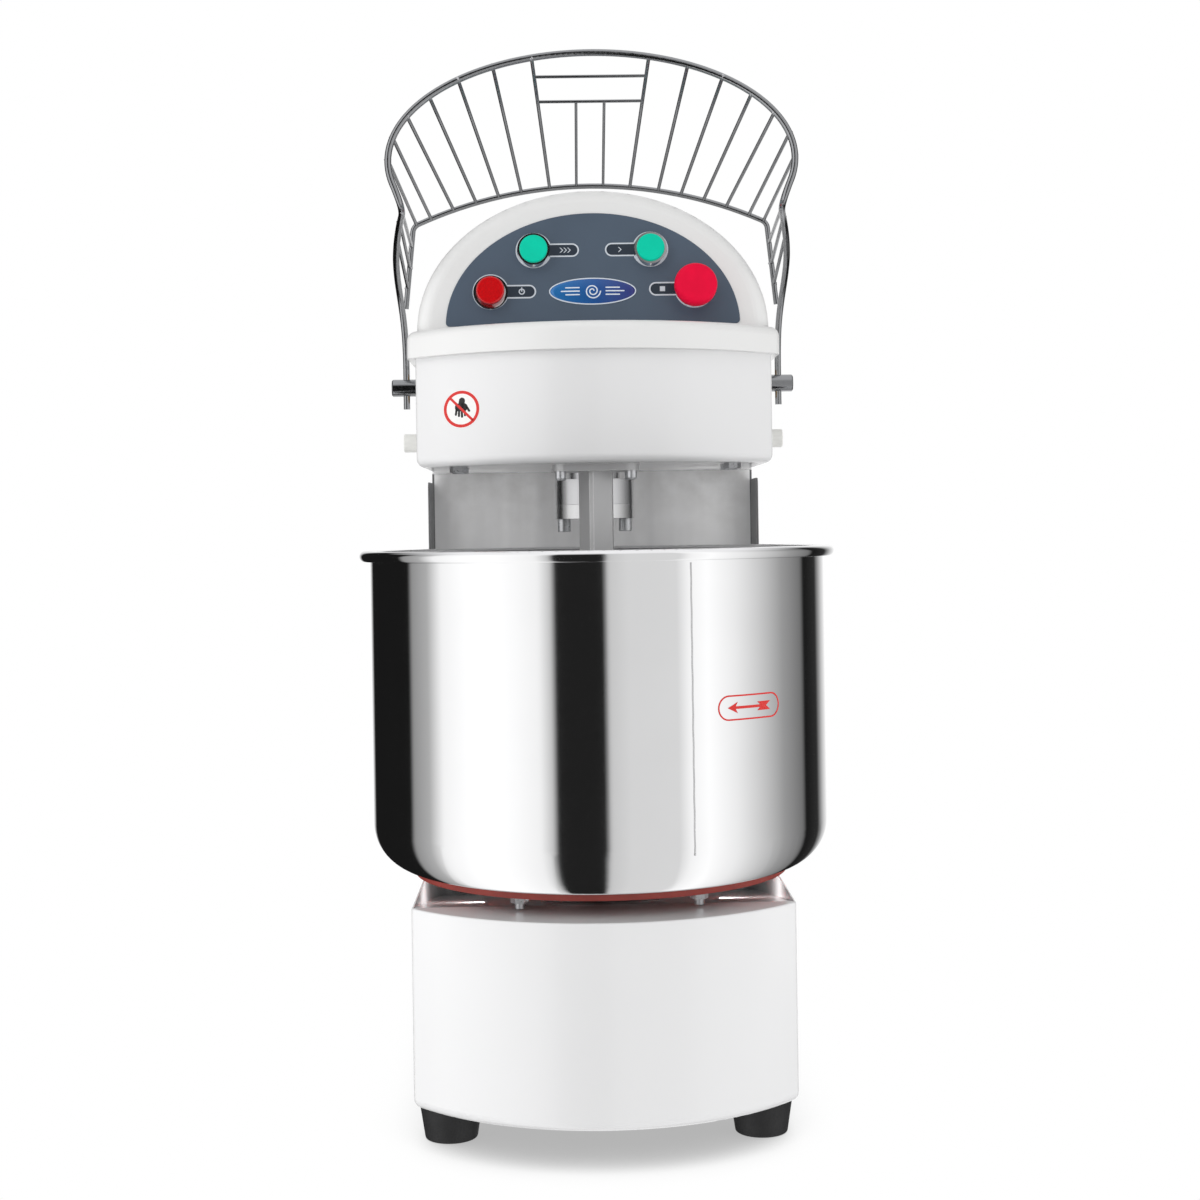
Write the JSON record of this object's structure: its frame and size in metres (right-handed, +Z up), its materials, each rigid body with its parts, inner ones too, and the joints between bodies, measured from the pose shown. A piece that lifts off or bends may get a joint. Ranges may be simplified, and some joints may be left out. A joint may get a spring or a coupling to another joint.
{
  "type": "spiral dough mixer",
  "caption": "Bench-high spiral dough mixer: turning steel bowl, spiral and breaker bar under a belt and chain driven head with a hinged wire guard and push-button panel.",
  "frame": {"origin": "on the floor, under the middle of the overall box", "axes": "+Z up, -Y towards the operator at the front, +X to the operator's right"},
  "size_m": [0.4189, 0.8, 0.9263],
  "materials": {
    "white_paint": "gloss white powder coat on sheet steel",
    "white_plastic": "smooth white ABS moulding",
    "panel_film": "fine matt blue-grey membrane",
    "polished_steel": "mirror-polished stainless steel",
    "brushed_stainless": "satin stainless sheet",
    "bar_steel": "ground stainless bar",
    "chromed_wire": "bright drawn stainless wire",
    "zinc_steel": "zinc-plated fasteners",
    "primer_red": "red-brown primer on steel plate",
    "cast_grey": "grey painted casting",
    "machined_steel": "machined steel, oiled",
    "plate_steel": "grey primed plate",
    "button_green": "green button cap",
    "stop_red": "red mushroom cap",
    "lamp_red": "red translucent lens",
    "black_plastic": "black moulded plastic",
    "white_nylon": "turned nylon",
    "bronze": "sintered bronze bush",
    "black_rubber": "moulded black rubber",
    "motor_paint": "blue-grey motor enamel"
  },
  "bodies": {
    "frame": {"base_casing": "white_paint", "column_casing": "white_paint", "head_casing": "white_paint", "rear_cover": "white_paint", "head_bearing_plate": "plate_steel", "base_bearing_plate": "plate_steel", "head_plate_screws": "zinc_steel", "splash_cover": "brushed_stainless", "rear_cover_screws": "zinc_steel", "rubber_feet": "black_rubber", "foot_bolts": "zinc_steel", "head_cover": "white_plastic", "control_panel": "panel_film", "switch_bezels": "polished_steel", "power_lamp": "lamp_red", "contact_blocks": "black_plastic", "guard_bushes": "bronze", "guard_bumpers": "white_nylon", "guard_switch": "black_plastic", "bowl_bearing_housing": "cast_grey", "bowl_bearings": "machined_steel", "shaft_bearing_units": "cast_grey", "spiral_chain": "machined_steel", "lay_chain": "machined_steel", "bowl_chain": "machined_steel", "drive_belts": "black_rubber", "motor_housing": "motor_paint", "motor_plate": "plate_steel", "spindle_housing": "cast_grey", "spindle_bearings": "machined_steel", "breaker_bar": "bar_steel", "breaker_bar_screws": "zinc_steel", "electrics_plate": "zinc_steel", "contactors": "black_plastic", "cable_gland": "black_plastic", "power_cord": "black_rubber", "mains_plug": "black_rubber"},
    "bowl": {"bowl": "polished_steel", "bowl_turntable": "primer_red", "bowl_studs_and_nuts": "zinc_steel", "bowl_shaft": "machined_steel", "bowl_sprocket": "machined_steel"},
    "spiral": {"spiral_hook": "polished_steel", "spiral_screws": "zinc_steel", "spiral_spindle": "machined_steel", "spindle_sprocket": "machined_steel"},
    "main_shaft": {"main_shaft": "machined_steel", "main_shaft_pulley": "cast_grey", "main_shaft_sprockets": "machined_steel"},
    "lay_shaft": {"lay_shaft": "machined_steel", "lay_shaft_sprockets": "machined_steel"},
    "motor_rotor": {"motor_rotor": "machined_steel", "motor_pulley": "cast_grey"},
    "guard": {"guard_outer_wire": "chromed_wire", "guard_inner_hoop": "chromed_wire", "guard_bars": "chromed_wire", "guard_hinge_pins": "chromed_wire"},
    "fast_button": {"fast_button": "button_green"},
    "slow_button": {"slow_button": "button_green"},
    "stop_button": {"stop_button": "stop_red"}
  },
  "joints": [
    {"name": "spiral_spin", "type": "hinge", "parent": "frame", "child": "spiral", "pos_m": [0, -0.1005, 0.54], "axis": [0, 0, -1], "continuous": true},
    {"name": "bowl_spin", "type": "hinge", "parent": "frame", "child": "bowl", "pos_m": [0, -0.1905, 0.205], "axis": [0, 0, -1], "continuous": true},
    {"name": "main_shaft_spin", "type": "hinge", "parent": "frame", "child": "main_shaft", "pos_m": [0, 0.1095, 0.4], "axis": [0, 0, -1], "continuous": true},
    {"name": "lay_shaft_spin", "type": "hinge", "parent": "frame", "child": "lay_shaft", "pos_m": [-0.055, -0.0305, 0.12], "axis": [0, 0, -1], "continuous": true},
    {"name": "motor_spin", "type": "hinge", "parent": "frame", "child": "motor_rotor", "pos_m": [0, 0.2545, 0.56], "axis": [0, 0, -1], "continuous": true},
    {"name": "guard_hinge", "type": "hinge", "parent": "frame", "child": "guard", "pos_m": [0, -0.0975, 0.6457], "axis": [1, 0, 0], "range_deg": [0, 90]},
    {"name": "fast_button_press", "type": "slide", "parent": "frame", "child": "fast_button", "axis": [0, 0.9903, -0.1392], "range_m": [0, 0.003]},
    {"name": "slow_button_press", "type": "slide", "parent": "frame", "child": "slow_button", "axis": [0, 0.9903, -0.1392], "range_m": [0, 0.003]},
    {"name": "stop_button_press", "type": "slide", "parent": "frame", "child": "stop_button", "axis": [0, 0.9903, -0.1392], "range_m": [0, 0.004]}
  ],
  "couplings": [
    {"joint": "main_shaft_spin", "follows": "spiral_spin", "ratio": 2},
    {"joint": "lay_shaft_spin", "follows": "spiral_spin", "ratio": 0.57778},
    {"joint": "bowl_spin", "follows": "spiral_spin", "ratio": 0.11556},
    {"joint": "motor_spin", "follows": "spiral_spin", "ratio": 7}
  ]
}
